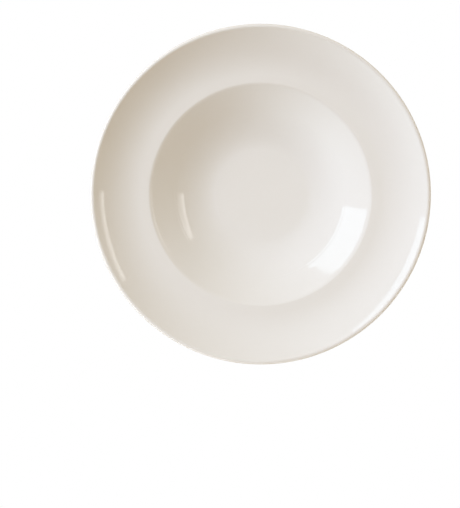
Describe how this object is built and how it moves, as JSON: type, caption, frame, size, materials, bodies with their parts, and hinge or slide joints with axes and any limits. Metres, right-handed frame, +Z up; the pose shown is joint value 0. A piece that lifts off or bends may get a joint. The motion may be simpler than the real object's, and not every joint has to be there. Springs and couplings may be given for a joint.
{
  "type": "pasta plate",
  "caption": "Round cream glazed pasta plate with a deep bowl-shaped well, a wide sloping rim with an upturned round lip, and a low unglazed foot ring to stand on.",
  "frame": {"origin": "middle of the stand face of the foot ring", "axes": "+Z up along the plate's axis of revolution; X and Y are free, because the plate is round"},
  "size_m": [0.3, 0.3, 0.054],
  "materials": {
    "biscuit": "bare fired clay, fine-grained and matte",
    "glaze": "glossy cream glaze"
  },
  "bodies": {
    "root": {"biscuit_body": "biscuit", "glaze_coat": "glaze", "base_glaze": "glaze"}
  },
  "joints": []
}
